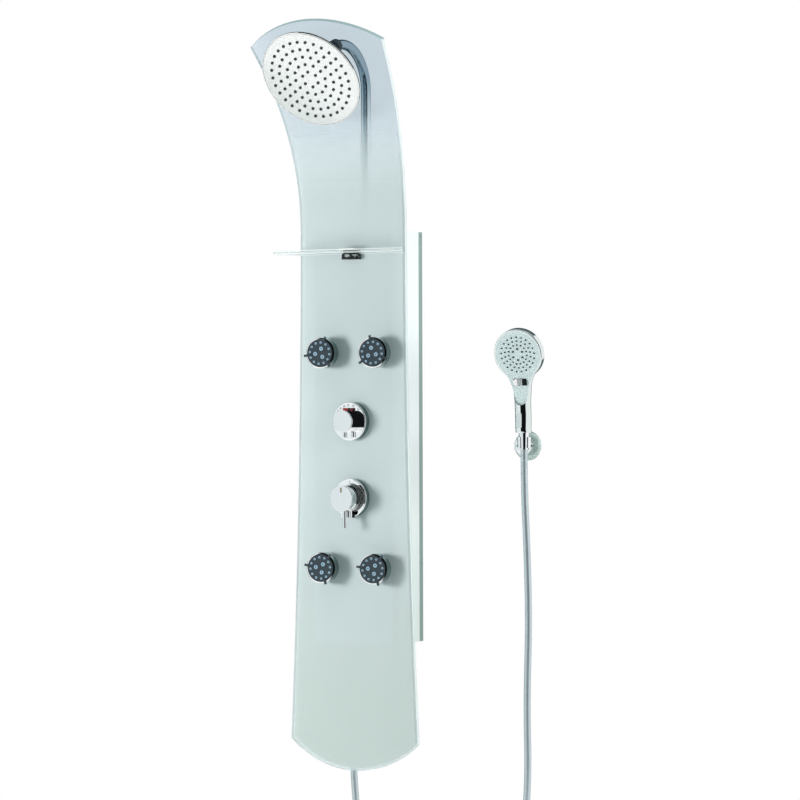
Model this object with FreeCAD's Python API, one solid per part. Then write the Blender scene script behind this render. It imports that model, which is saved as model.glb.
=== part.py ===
"""Glass shower panel column with overhead shower, four body jets, thermostat, shelf and handset.

Millimetres. The wall is the plane Y=0 and the panel faces -Y, with +Z up and +X to the viewer's right.
The origin is the centre of the four wall-bracket holes.
"""
import FreeCAD, Part
import math
import os
from FreeCAD import Vector, Rotation, Placement

# ---- glass panel: waisted outline, its top bent forward ----
glass_front = -120.0
glass_thickness = 8.0
waist_half = 122.5
waist_z = 360.0
top_corner_half = 151.5
top_corner_z = 706.0
top_apex_z = 747.5
bottom_corner_half = 148.0
bottom_corner_z = -688.0
bottom_apex_z = -747.0
bend_start_z = 338.0
bend_radius = 540.0
bend_angle = 38.0

# ---- casing and wall fixing ----
casing_half = 93.5
casing_top = 341.0
casing_bottom = -490.0
casing_rear = -15.0
casing_wall = 2.0
flange_width = 16.0
rail_wall = 2.5
bolt_half_x = 60.0
bolt_z = 320.0
bolt_hole = 3.25
bracket_half = casing_half - 6.0
bracket_height = 40.0
lock_screw_z = 332.0
lock_screw_radius = 2.5

# ---- controls ----
thermostat_z = -43.0
flow_z = -197.0
control_hole = 20.0
plate_radius = 38.5
plate_depth = 15.0
thermostat_knob_radius = 22.5
thermostat_knob_front = 42.0
flow_knob_radius = 26.5
flow_knob_front = 48.0
spindle_radius = 6.0
cartridge_radius = 15.0
diverter_radius = 28.5
knob_gap = 0.4
running = 0.05

# ---- body jets ----
jet_x = 61.0
jet_upper_z = 95.0
jet_lower_z = -338.0
jet_pan = 8.0
jet_pivot = -122.0
jet_hole = 23.0
jet_ball = 17.0
jet_seat = 19.0
jet_cup_radius = 31.0
jet_face_radius = 27.0
jet_spins = [9.0, 38.0, -10.0, -8.0]

# ---- arm and overhead shower ----
arm_y = -65.0
arm_radius = 10.0
arm_bore = 8.5
arm_foot_z = 250.0
arm_bend_z = 627.0
arm_bend = 87.0
arm_drop = 43.0
ball_ahead = 22.0
head_ball_radius = 11.0
head_bush_radius = 13.5
head_radius = 106.2
head_reach = 37.0
head_drop = 35.5
head_ring_radii = [17.0, 34.0, 51.0, 68.0, 84.7]
head_nozzle_radius = 2.8

# ---- shelf ----
shelf_z = 294.3
shelf_thickness = 7.5
shelf_front_half = 154.0
shelf_rear_half = 122.0
shelf_rear = -125.0
shelf_front = -186.0
clamp_half = 19.5
clamp_low_reach = 14.0
clamp_top_reach = 25.0
clamp_lip = 3.7
clamp_base = 11.0

# ---- handset, its holder and hose ----
holder_x = 336.0
holder_z = -92.0
holder_pivot_y = -20.0
holder_reach = 46.0
holder_turn = 29.0
holder_pin = 2.5
hub_radius = 19.0
slot_half = 2.2
screw_hole = 2.3
screw_offset = 17.0
cone_foot_radius = 8.3
cone_top_radius = 10.0
handset_turn = 6.6
cone_top = -65.5
cone_bottom = -98.5
handset_bend_z = 15.9
handset_front = 16.5
handset_lean = 3.6
handset_pitch = 13.2
handset_head_z = 90.8
handset_head_radius = 50.5
handset_face_radius = 47.0
handset_face_depth = 3.0
handset_rings = [(6, 11.1, 2.1), (15, 19.2, 1.6), (18, 27.0, 1.6), (21, 34.8, 1.6)]
button_z = 35.1
hose_radius = 7.0
outlet_x = -30.0
outlet_y = -70.0
hose_nut_bottom = -516.0
hose_route = [
    (-30, -70, -516), (-30, -70, -610), (-33, -68, -760), (-20, -62, -905), (55, -56, -1020),
    (165, -54, -1066), (275, -56, -1020), (350, -60, -905), (368, -64, -760), (365, -65, -600),
    (370, -64, -440), (365, -62, -290), (358.3, -60.2, -180), (358.3, -60.2, -98.5),
]

PARTS = "parts"
os.makedirs(PARTS, exist_ok=True)
up = Vector(0, 0, 1)


def save(shape, name):
    solids = shape.Solids
    bad = [s for s in solids if not s.isValid()]
    shape.exportStep(os.path.join(PARTS, name + ".step"))
    print("%-22s solids %d  volume %9.0f  %s" % (name, len(solids), shape.Volume, "INVALID" if bad else ""))


def group(shapes):
    return Part.makeCompound(shapes)


def fuse(shapes):
    whole = shapes[0]
    for shape in shapes[1:]:
        whole = whole.fuse(shape)
    return whole.removeSplitter()


def rod(start, direction, radius, length):
    return Part.makeCylinder(radius, length, Vector(*start), Vector(*direction))


def block(x0, x1, y0, y1, z0, z1):
    return Part.makeBox(x1 - x0, y1 - y0, z1 - z0, Vector(x0, y0, z0))


def turned(outline):
    """Solid of revolution about +Z from (radius, height) points; three points in a list are an arc."""
    edges = []
    last = None
    points = []
    for item in outline:
        if isinstance(item, list):
            middle, end = [Vector(r, 0, z) for r, z in item]
            edges.append(Part.Arc(last, middle, end).toShape())
            last = end
        else:
            here = Vector(item[0], 0, item[1])
            if last is not None:
                edges.append(Part.makeLine(last, here))
            last = here
        points.append(last)
    edges.append(Part.makeLine(last, points[0]))
    face = Part.Face(Part.Wire(edges))
    return face.revolve(Vector(0, 0, 0), up, 360)


def placed(shape, position, direction=(0, -1, 0)):
    """Put a shape that stands on +Z at a position, its +Z along the direction and its +X level."""
    axis = Vector(*direction).normalize()
    turn = Rotation(Vector(1, 0, 0), Vector(0, 0, 0), axis, "ZXY")
    copy = shape.copy()
    copy.Placement = Placement(Vector(*position), turn).multiply(shape.Placement)
    return copy


def spun(shape, centre, axis, angle):
    copy = shape.copy()
    copy.rotate(Vector(*centre), Vector(*axis), angle)
    return copy


def bent_wire(points, share=0.45, bend=None):
    """Straight runs joined by tangent arcs; returns the wire, its length and its radii."""
    corners = [Vector(*p) for p in points]
    edges = []
    radii = []
    length = 0.0
    start = corners[0]
    for before, corner, after in zip(corners, corners[1:], corners[2:]):
        inward = (corner - before).normalize()
        onward = (after - corner).normalize()
        half_turn = inward.getAngle(onward) / 2
        shorter = min((corner - before).Length, (after - corner).Length)
        setback = share * shorter if bend is None else bend * math.tan(half_turn)
        radius = setback / math.tan(half_turn)
        first = corner - inward * setback
        last = corner + onward * setback
        towards = (onward - inward).normalize()
        middle = corner + towards * (radius / math.cos(half_turn) - radius)
        edges.append(Part.makeLine(start, first))
        edges.append(Part.Arc(first, middle, last).toShape())
        length += (first - start).Length + radius * 2 * half_turn
        radii.append(radius)
        start = last
    edges.append(Part.makeLine(start, corners[-1]))
    length += (corners[-1] - start).Length
    return Part.Wire(edges), length, radii


def pipe(points, radius, bend=None, bore=0.0):
    wire, length, radii = bent_wire(points, bend=bend)
    start = Vector(*points[0])
    direction = (Vector(*points[1]) - start).normalize()
    section = Part.Wire(Part.makeCircle(radius, start, direction))
    solid = wire.makePipeShell([section], True, False)
    if bore:
        inner = Part.Wire(Part.makeCircle(bore, start, direction))
        solid = solid.cut(wire.makePipeShell([inner], True, False))
    return solid, length, radii


def arc_from_tangent(waist, corner):
    """Arc that leaves the waist point vertically and ends at the corner, in the XZ plane."""
    rise = corner.z - waist.z
    spread = abs(corner.x) - abs(waist.x)
    radius = (rise * rise + spread * spread) / (2 * spread)
    sign = 1 if waist.x > 0 else -1
    half = math.asin(abs(rise) / radius) / 2
    level = waist.z + math.copysign(radius * math.sin(half), rise)
    middle = Vector(sign * (abs(waist.x) + radius * (1 - math.cos(half))), 0, level)
    return Part.Arc(waist, middle, corner).toShape()


# the bend's end, and the directions along and out of the tilted glass
tilt = math.radians(bend_angle)
glass_along = Vector(0, -math.sin(tilt), math.cos(tilt))
glass_out = Vector(0, -math.cos(tilt), -math.sin(tilt))
bend_end = Vector(0, glass_front - bend_radius * (1 - math.cos(tilt)), bend_start_z + bend_radius * math.sin(tilt))


def glass_slab():
    """The sheet's side profile: flat, bent forward on an arc, then straight, swept over the width."""
    half = tilt / 2
    centre = Vector(0, glass_front - bend_radius, bend_start_z)

    def on_bend(angle, radius):
        return centre + Vector(0, radius * math.cos(angle), radius * math.sin(angle))

    back_radius = bend_radius + glass_thickness
    reach = 140.0
    top = on_bend(tilt, bend_radius) + glass_along * reach
    top_back = on_bend(tilt, back_radius) + glass_along * reach
    floor = bottom_apex_z - 20
    foot = Vector(0, glass_front, floor)
    foot_back = Vector(0, glass_front + glass_thickness, floor)
    edges = [
        Part.makeLine(foot, on_bend(0, bend_radius)),
        Part.Arc(on_bend(0, bend_radius), on_bend(half, bend_radius), on_bend(tilt, bend_radius)).toShape(),
        Part.makeLine(on_bend(tilt, bend_radius), top),
        Part.makeLine(top, top_back),
        Part.makeLine(top_back, on_bend(tilt, back_radius)),
        Part.Arc(on_bend(tilt, back_radius), on_bend(half, back_radius), on_bend(0, back_radius)).toShape(),
        Part.makeLine(on_bend(0, back_radius), foot_back),
        Part.makeLine(foot_back, foot),
    ]
    face = Part.Face(Part.Wire(edges))
    width = 400.0
    slab = face.extrude(Vector(width, 0, 0))
    slab.translate(Vector(-width / 2, 0, 0))
    return slab


def glass_outline():
    """Outline seen from the front, carried past the top corners, as a block to cut the slab with."""
    over = 1.6
    right = Vector(waist_half, 0, waist_z)
    left = Vector(-waist_half, 0, waist_z)
    top_right = Vector(top_corner_half, 0, top_corner_z)
    top_left = Vector(-top_corner_half, 0, top_corner_z)
    low_right = Vector(bottom_corner_half, 0, bottom_corner_z)
    low_left = Vector(-bottom_corner_half, 0, bottom_corner_z)
    roof = top_corner_z + 80
    edges = [
        arc_from_tangent(right, top_right),
        Part.makeLine(top_right, Vector(top_corner_half * over, 0, roof)),
        Part.makeLine(Vector(top_corner_half * over, 0, roof), Vector(-top_corner_half * over, 0, roof)),
        Part.makeLine(Vector(-top_corner_half * over, 0, roof), top_left),
        arc_from_tangent(left, top_left),
        arc_from_tangent(left, low_left),
        Part.Arc(low_left, Vector(0, 0, bottom_apex_z), low_right).toShape(),
        arc_from_tangent(right, low_right),
    ]
    face = Part.Face(Part.Wire(Part.__sortEdges__(edges)))
    cutter = face.extrude(Vector(0, -400, 0))
    cutter.translate(Vector(0, 20, 0))
    return cutter


def top_trim():
    """Everything under the top arc, cut square to the tilted sheet."""
    def along(z):
        return (z - bend_end.z) / math.cos(tilt)

    def point(x, s):
        return bend_end + Vector(x, 0, 0) + glass_along * s

    corner = along(top_corner_z)
    apex = along(top_apex_z)
    deep = 1500.0
    wide = 260.0
    slope = 70.0
    left = point(-top_corner_half, corner)
    right = point(top_corner_half, corner)
    edges = [
        Part.Arc(left, point(0, apex), right).toShape(),
        Part.makeLine(right, point(wide, corner - slope)),
        Part.makeLine(point(wide, corner - slope), point(wide, -deep)),
        Part.makeLine(point(wide, -deep), point(-wide, -deep)),
        Part.makeLine(point(-wide, -deep), point(-wide, corner - slope)),
        Part.makeLine(point(-wide, corner - slope), left),
    ]
    face = Part.Face(Part.Wire(edges))
    thick = 2200.0
    cutter = face.extrude(glass_out * thick)
    cutter.translate(glass_out * (-thick / 2))
    return cutter


# ---- arm geometry, in the YZ plane ----
drop = math.radians(arm_drop)
arm_centre = Vector(0, arm_y - arm_bend, arm_bend_z)
arm_out = Vector(0, -math.cos(drop), -math.sin(drop))
arm_bend_end = arm_centre + Vector(0, -arm_bend * math.sin(drop), arm_bend * math.cos(drop))
to_glass = (bend_end - arm_bend_end).dot(glass_out) / arm_out.dot(glass_out)
arm_crossing = arm_bend_end + arm_out * to_glass
ball_centre = arm_crossing + arm_out * ball_ahead
head_out = Vector(0, -math.cos(math.radians(head_drop)), -math.sin(math.radians(head_drop)))
arm_hole = 15.0
jets = [(-jet_x, jet_upper_z), (jet_x, jet_upper_z), (-jet_x, jet_lower_z), (jet_x, jet_lower_z)]
shelf_bolts = [-9.0, 9.0]
shelf_bolt_z = shelf_z + shelf_thickness / 2
shelf_bolt_radius = 2.5


def make_glass():
    glass = glass_slab().common(glass_outline()).common(top_trim())
    back = glass_front + glass_thickness
    for x, z in jets:
        glass = glass.cut(rod((x, back + 5, z), (0, -1, 0), jet_hole, 30))
    for z in (thermostat_z, flow_z):
        glass = glass.cut(rod((0, back + 5, z), (0, -1, 0), control_hole, 30))
    for x in shelf_bolts:
        glass = glass.cut(rod((x, back + 5, shelf_bolt_z), (0, -1, 0), shelf_bolt_radius, 30))
    glass = glass.cut(rod(arm_crossing - glass_out * 20, glass_out, arm_hole, 40))
    save(glass, "glass_panel")
    return glass


def make_casing():
    front = glass_front + glass_thickness
    inner = casing_half - casing_wall
    shell = block(-casing_half, casing_half, front, casing_rear, casing_bottom, casing_top)
    upright = [e for e in shell.Edges if abs(e.Vertexes[0].Y - front) < 1e-3 and abs(e.Vertexes[1].Y - front) < 1e-3
               and abs(e.Vertexes[0].X - e.Vertexes[1].X) < 1e-3]
    shell = shell.makeFillet(3.0, upright)
    room = block(-inner, inner, front + casing_wall, casing_rear - casing_wall,
                 casing_bottom + casing_wall, casing_top - casing_wall)
    mouth_half = casing_half - flange_width
    mouth = block(-mouth_half, mouth_half, casing_rear - 10, casing_rear + 10,
                  casing_bottom + flange_width, casing_top - flange_width)
    shell = shell.cut(room).cut(mouth)
    for x, z in jets:
        shell = shell.cut(rod((x, front + 10, z), (0, -1, 0), jet_hole, 20))
    for z in (thermostat_z, flow_z):
        shell = shell.cut(rod((0, front + 10, z), (0, -1, 0), control_hole, 20))
    for x in shelf_bolts:
        shell = shell.cut(rod((x, front + 10, shelf_bolt_z), (0, -1, 0), shelf_bolt_radius, 20))
    shell = shell.cut(rod((0, arm_y, casing_top - 10), (0, 0, 1), arm_radius, 20))
    shell = shell.cut(rod((outlet_x, outlet_y, casing_bottom - 10), (0, 0, 1), 9.0, 20))
    save(shell, "casing")


def make_wall_parts():
    """Side rails and the brackets that they hook over; returns the screws that lock them."""
    rails = []
    brackets = []
    screws = []
    side = casing_half - rail_wall
    for sign in (-1, 1):
        leg = block(side, casing_half, casing_rear, 0, casing_bottom, casing_top)
        front = block(casing_half - flange_width, casing_half, casing_rear, casing_rear + rail_wall,
                      casing_bottom, casing_top)
        rail = leg.fuse(front)
        for z in (-lock_screw_z, lock_screw_z):
            rail = rail.cut(rod((side - 5, casing_rear / 2, z), (1, 0, 0), lock_screw_radius, 20))
            screw = rod((bracket_half, casing_rear / 2, z), (1, 0, 0), lock_screw_radius, 5.4)
            socket = rod((bracket_half + 3.4, casing_rear / 2, z), (1, 0, 0), 1.2, 5)
            screws.append(mirror_x(screw.cut(socket), sign))
        rails.append(mirror_x(rail.removeSplitter(), sign))
    for z in (-bolt_z, bolt_z):
        half = bracket_height / 2
        plate = block(-bracket_half, bracket_half, -3, 0, z - half, z + half)
        for sign in (-1, 1):
            ear = block(bracket_half - 2.5, bracket_half, -12, 0, z - half, z + half)
            plate = plate.fuse(mirror_x(ear, sign))
            plate = plate.cut(rod((sign * bolt_half_x, -10, z), (0, 1, 0), bolt_hole, 20))
        brackets.append(plate.removeSplitter())
    save(group(rails), "wall_rails")
    save(group(brackets), "wall_brackets")
    return screws


def mirror_x(shape, sign):
    if sign > 0:
        return shape
    return shape.mirror(Vector(0, 0, 0), Vector(1, 0, 0))


block_half = 22.0
block_front = -100.0
block_rear = -40.0
block_top = -15.0
block_bottom = -225.0
boss_radius = 19.0
boss_front = -126.0
supply_x = 45.0
supply_z = -400.0
supply_radius = 6.0
supply_thread = 9.3
jet_pipe_y = -72.0
jet_feed_z = -120.0
jet_pipe_radius = 6.0
socket_rear = -84.0


def make_plumbing():
    body = block(-block_half, block_half, block_front, block_rear, block_bottom, block_top)
    for z in (thermostat_z, flow_z):
        body = body.fuse(rod((0, block_front, z), (0, -1, 0), boss_radius, block_front - boss_front))
    body = body.removeSplitter()
    for z in (thermostat_z, flow_z):
        body = body.cut(rod((0, boss_front, z), (0, 1, 0), cartridge_radius, 66))
    save(body, "valve_block")

    hoses = []
    nuts = []
    for sign in (-1, 1):
        x = sign * supply_x
        route = [(sign * block_half, -52, thermostat_z), (x, -52, thermostat_z), (x, -52, supply_z), (x, -30, supply_z)]
        hose, length, radii = pipe(route, supply_radius, bend=16.0)
        hoses.append(hose)
        nut = Part.makeCylinder(15, 18, Vector(0, 0, 0), up)
        hexagon = Part.Face(Part.makePolygon([Vector(13.9 * math.cos(math.radians(60 * k)),
                                                     13.9 * math.sin(math.radians(60 * k)), 0) for k in range(7)]))
        nut = nut.common(hexagon.extrude(Vector(0, 0, 18)))
        nut = nut.cut(Part.makeCylinder(supply_thread, 14, Vector(0, 0, 4), up))
        nuts.append(placed(nut, (x, -30, supply_z), (0, 1, 0)))
    save(group(hoses), "supply_hoses")
    save(group(nuts), "supply_nuts")

    pipes = []
    riser = rod((0, arm_y, block_top), (0, 0, 1), 7.0, arm_foot_z - block_top - 10)
    union = rod((0, arm_y, arm_foot_z - 10), (0, 0, 1), 14.0, 10)
    pipes.append(fuse([riser, union]))
    for sign in (-1, 1):
        x = sign * jet_x
        column = rod((x, jet_pipe_y, jet_lower_z), (0, 0, 1), jet_pipe_radius, jet_upper_z - jet_lower_z)
        feed = rod((sign * block_half, jet_pipe_y, jet_feed_z), (sign, 0, 0), jet_pipe_radius, jet_x - block_half)
        tees = [rod((x, jet_pipe_y, z), (0, -1, 0), jet_pipe_radius, jet_pipe_y - socket_rear)
                for z in (jet_upper_z, jet_lower_z)]
        caps = [rod((x, jet_pipe_y, z - 8), (0, 0, 1), 8.0, 16) for z in (jet_upper_z, jet_lower_z)]
        pipes.append(fuse([column, feed] + tees + caps))
    save(group(pipes), "inner_pipes")

    route = [(0, outlet_y, block_bottom), (0, outlet_y, -290), (outlet_x, outlet_y, -350),
             (outlet_x, outlet_y, casing_bottom - 8)]
    outlet, length, radii = pipe(route, 8.0, bend=40.0)
    collar = rod((outlet_x, outlet_y, casing_bottom - 3), (0, 0, 1), 12.5, 3)
    thread = rod((outlet_x, outlet_y, casing_bottom - 8), (0, 0, 1), 9.0, 8)
    save(fuse([outlet, collar, thread]), "outlet_pipe")
    nut = turned([(0, 0), (12.0, 0), (12.6, 0.8), (12.6, 9), (9.2, 17.4), (0, 17.4)])
    nut = nut.cut(Part.makeCylinder(9.0, 5, Vector(0, 0, 0), up))
    nut_top = casing_bottom - 3
    nut = placed(nut, (outlet_x, outlet_y, nut_top), (0, 0, -1))
    spare = rod((outlet_x, outlet_y, hose_nut_bottom), (0, 0, 1), 9.2, nut_top - 17.4 - hose_nut_bottom)
    save(fuse([nut, spare]), "hose_nut")


def round_edge(radius, depth, edge):
    """Profile points of a disc from height 0 to depth whose front edge is rounded."""
    bulge = edge * (1 - math.sqrt(0.5))
    return [(0, 0), (radius, 0), (radius, depth - edge), [(radius - bulge, depth - bulge), (radius - edge, depth)],
            (0, depth)]


def make_thermostat():
    z = thermostat_z
    at_glass = (0, glass_front, z)
    plate = turned(round_edge(plate_radius, plate_depth, 2.0))
    plate = plate.cut(Part.makeCylinder(boss_radius, 6, Vector(0, 0, 0), up))
    plate = plate.cut(Part.makeCylinder(cartridge_radius, plate_depth, Vector(0, 0, 0), up))
    save(placed(plate, at_glass), "thermostat_plate")

    rear = 40.0
    spindle_end = 33.0
    cartridge = turned([(0, -rear), (cartridge_radius, -rear), (cartridge_radius, plate_depth),
                        (spindle_radius, plate_depth), (spindle_radius, spindle_end), (0, spindle_end)])
    save(placed(cartridge, at_glass), "thermostat_cartridge")

    base = plate_depth + knob_gap
    depth = thermostat_knob_front - base
    knob = turned(round_edge(thermostat_knob_radius, depth, 1.4))
    knob = knob.cut(Part.makeCylinder(spindle_radius + running, spindle_end - base + 0.4, Vector(0, 0, 0), up))
    knob = placed(knob, (0, glass_front - base, z))
    button_y = glass_front - 26.0
    pocket = block(-6.5, 6.5, button_y - 3.3, button_y + 3.3, z + 12.0, z + 30)
    knob = knob.cut(pocket)
    pin_y = glass_front - 32.0
    pin_socket = rod((0, pin_y, z - 14), (0, 0, -1), 4.5, 20)
    knob = knob.cut(pin_socket)
    save(knob, "thermostat_knob")

    pin = turned(round_edge(4.5, 18.5, 1.0))
    save(placed(pin, (0, pin_y, z - 14), (0, 0, -1)), "thermostat_pin")

    button = block(-6.2, 6.2, button_y - 3.0, button_y + 3.0, z + 17.0, z + 27.3)
    top = [e for e in button.Edges if min(v.Z for v in e.Vertexes) > z + 27.2]
    save(button.makeFillet(0.8, top), "stop_button")
    spring = rod((0, button_y, z + 12.0), (0, 0, 1), 2.4, 4.9)
    spring = spring.cut(rod((0, button_y, z + 11), (0, 0, 1), 1.6, 8))
    save(spring, "button_spring")


def make_flow_valve():
    z = flow_z
    at_glass = (0, glass_front, z)
    depth = 14.0
    collar_radius = 16.5
    plate = turned(round_edge(plate_radius, depth, 2.0))
    plate = plate.cut(Part.makeCylinder(boss_radius, 6, Vector(0, 0, 0), up))
    plate = plate.cut(Part.makeCylinder(collar_radius, depth, Vector(0, 0, 0), up))
    save(placed(plate, at_glass), "diverter_plate")

    ring_base = depth + knob_gap
    ring_front = 27.0
    spindle_end = 40.0
    cartridge = turned([(0, -40), (cartridge_radius, -40), (cartridge_radius, 6), (collar_radius, 6),
                        (collar_radius, ring_front), (spindle_radius, ring_front), (spindle_radius, spindle_end),
                        (0, spindle_end)])
    save(placed(cartridge, at_glass), "flow_cartridge")

    outline = [(collar_radius + running, ring_base), (diverter_radius + 1.5, ring_base)]
    groove = 1.6
    lug_half = 12.3
    ridge = (ring_front - ring_base) / 6
    for step in range(3):
        low = ring_base + step * 2 * ridge
        radius = diverter_radius + 1.5 - step * 0.8
        outline += [(radius, low + ridge), (radius - groove, low + ridge), (radius - groove, low + 2 * ridge - 0.2)]
        if step < 2:
            outline.append((radius - 0.8, low + 2 * ridge - 0.2))
    outline += [(diverter_radius - 1.7, ring_front), (collar_radius + running, ring_front)]
    ring = turned(outline)
    lug = Part.makeBox(2 * lug_half, 18, ring_front - 1.0 - ring_base, Vector(-lug_half, -39.5, ring_base))
    corners = [e for e in lug.Edges if max(v.Y for v in e.Vertexes) < -39]
    lug = lug.makeFillet(1.2, corners)
    lug = lug.cut(Part.makeCylinder(collar_radius + 4, 40, Vector(0, 0, 0), up))
    # the disc's +Y side is the wall frame's +Z side once it is placed
    ring = placed(ring.fuse(lug).removeSplitter(), at_glass)
    save(ring, "diverter_ring")

    base = ring_front + knob_gap
    knob = turned(round_edge(flow_knob_radius, flow_knob_front - base, 1.2))
    knob = knob.cut(Part.makeCylinder(spindle_radius + running, spindle_end - base + 0.4, Vector(0, 0, 0), up))
    knob = placed(knob, (0, glass_front - base, z))
    pin_y = glass_front - flow_knob_front + 15.0
    knob = knob.cut(rod((0, pin_y, z - 14), (0, 0, -1), 4.5, 30))
    tick = block(-2.0, 2.0, glass_front - flow_knob_front - 1, glass_front - flow_knob_front + 0.4,
                 z + 11.4, z + 22)
    knob = knob.cut(tick)
    save(knob, "flow_knob")
    pin = turned(round_edge(4.5, flow_knob_radius + 34 - 14, 0.8))
    save(placed(pin, (0, pin_y, z - 14), (0, 0, -1)), "flow_pin")


def ring_of(count, radius, phase=0.0):
    return [(radius * math.cos(math.radians(phase + 360 * k / count)),
             radius * math.sin(math.radians(phase + 360 * k / count))) for k in range(count)]


def make_jets():
    glass = jet_pivot - glass_front          # the glass front lies this far behind the pivot
    flange = 2.0
    neck_end = socket_rear - jet_pivot
    socket = turned([(0, -neck_end), (12, -neck_end), (12, 6 - neck_end), (22, 12 - neck_end), (22, glass),
                     (27, glass), (27, flange - 1.2), [(26.6, flange - 0.4), (25.8, flange)], (0, flange)])
    socket = socket.cut(Part.makeSphere(jet_seat + running))
    socket = socket.cut(Part.makeCylinder(jet_pipe_radius, neck_end, Vector(0, 0, -neck_end), up))
    nut = Part.makeCylinder(26.5, 8, Vector(0, 0, 0), up).cut(Part.makeCylinder(22, 8, Vector(0, 0, 0), up))
    notches = [rod((26.5, 0, 0), (0, 0, 1), 2.5, 8)]
    for k in range(1, 6):
        notches.append(spun(notches[0], (0, 0, 0), (0, 0, 1), 60 * k))
    nut = nut.cut(group(notches))

    seat = Part.makeSphere(jet_seat).cut(Part.makeSphere(jet_ball + running))
    band = Part.makeCylinder(jet_seat + 1, 7.5, Vector(0, 0, -6), up)
    seat = seat.common(band)

    front = 33.0
    disc_base = front - 7.0
    bevel = 1.8
    lip_radius = 28.2
    back_of_cone = 7.0
    ball_front = math.sqrt(jet_ball ** 2 - 15.5 ** 2)
    cup = turned([(0, -10), (math.sqrt(jet_ball ** 2 - 100), -10), [(jet_ball, 0), (15.5, ball_front)],
                  (15.5, back_of_cone), (30.0, 10), (jet_cup_radius, 11), (jet_cup_radius, front - bevel),
                  [(29.75, front - bevel / 3), (lip_radius, front)],
                  (lip_radius - 0.6, front - 0.6), (lip_radius - 0.6, 12), (5, 12), (5, 6), (0, 6)])
    cup = cup.cut(Part.makeCylinder(5, 16.2, Vector(0, 0, -10.1), up))

    face_front = front + 0.6
    disc = turned([(0, disc_base), (jet_face_radius, disc_base), (jet_face_radius, face_front - 0.8),
                   (jet_face_radius - 0.8, face_front), (0, face_front)])
    face = disc.fuse(Part.makeCylinder(4.9, disc_base - 6, Vector(0, 0, 7), up))
    for k in range(3):
        tab = Part.makeBox(14, 4.6, 2.0, Vector(21, -2.3, front + 0.35))
        face = face.fuse(spun(tab, (0, 0, 0), (0, 0, 1), 180 + 120 * k))
    face = face.removeSplitter()
    nozzles = []
    for x, y in ring_of(12, 21.5, phase=15):
        nozzles.append(Part.makeCylinder(1.9, 5.5, Vector(x, y, front - 3.5), up))
    for x, y in ring_of(3, 9.6, phase=60):
        nozzles.append(Part.makeCylinder(3.3, 6.0, Vector(x, y, front - 3.5), up))
    face = face.cut(group(nozzles))

    sockets = []
    nuts = []
    for number, (x, z) in enumerate(jets, 1):
        pivot = (x, jet_pivot, z)
        spin = jet_spins[number - 1]
        sockets.append(placed(socket, pivot))
        nuts.append(placed(nut, (x, glass_front + glass_thickness + casing_wall + 8, z)))
        save(placed(seat, pivot), "jet_%d_seat" % number)
        save(spun(placed(cup, pivot), pivot, (0, 0, 1), jet_pan), "jet_%d_cup" % number)
        for shape, name in ((face, "face"), (group(nozzles), "nozzles")):
            turned_face = spun(shape, (0, 0, 0), (0, 0, 1), spin)
            save(spun(placed(turned_face, pivot), pivot, (0, 0, 1), jet_pan), "jet_%d_%s" % (number, name))
    save(group(sockets), "jet_sockets")
    save(group(nuts), "jet_lock_nuts")


def make_shelf():
    """Clear shelf in its clamp; returns the screws that hold the clamp from behind."""
    top = shelf_z + shelf_thickness
    sag = 5.0
    rear_right = Vector(shelf_rear_half, shelf_rear, shelf_z)
    rear_left = Vector(-shelf_rear_half, shelf_rear, shelf_z)
    front_right = Vector(shelf_front_half, shelf_front, shelf_z)
    front_left = Vector(-shelf_front_half, shelf_front, shelf_z)
    middle = Vector(0, shelf_front - sag, shelf_z)
    edges = [Part.makeLine(rear_left, rear_right), Part.makeLine(rear_right, front_right),
             Part.Arc(front_right, middle, front_left).toShape(), Part.makeLine(front_left, rear_left)]
    plate = Part.Face(Part.Wire(edges)).extrude(Vector(0, 0, shelf_thickness))
    upright = [e for e in plate.Edges if abs(e.Vertexes[0].Z - e.Vertexes[-1].Z) > 1 and e.Vertexes[0].Y < shelf_rear - 1]
    plate = plate.makeFillet(7.0, upright)
    save(plate, "shelf_plate")

    back = block(-clamp_half, clamp_half, shelf_rear, glass_front, shelf_z - clamp_base, top + clamp_lip)
    upper = block(-clamp_half, clamp_half, glass_front - clamp_top_reach, shelf_rear, top, top + clamp_lip)
    lower = block(-clamp_half, clamp_half, glass_front - clamp_low_reach, shelf_rear, shelf_z - clamp_base, shelf_z)
    jaws = []
    for jaw, rounding in ((upper, 3.0), (lower, 5.0)):
        tip = min(v.Y for v in jaw.Vertexes)
        corners = [e for e in jaw.Edges if max(v.Y for v in e.Vertexes) < tip + 0.1
                   and abs(e.Vertexes[0].Z - e.Vertexes[1].Z) > 1]
        jaws.append(jaw.makeFillet(rounding, corners))
    clamp = fuse([back] + jaws)
    for x in shelf_bolts:
        clamp = clamp.cut(rod((x, glass_front + 1, shelf_bolt_z), (0, -1, 0), shelf_bolt_radius, 5))
    save(clamp, "shelf_clamp")
    screws = []
    for x in shelf_bolts:
        start = glass_front + glass_thickness + casing_wall
        shank = rod((x, start, shelf_bolt_z), (0, -1, 0), shelf_bolt_radius, start - glass_front + 4)
        head = rod((x, start + 4, shelf_bolt_z), (0, -1, 0), 4.6, 4)
        socket = rod((x, start + 5, shelf_bolt_z), (0, -1, 0), 2.0, 3)
        screws.append(fuse([shank, head]).cut(socket))
    return screws


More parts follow.
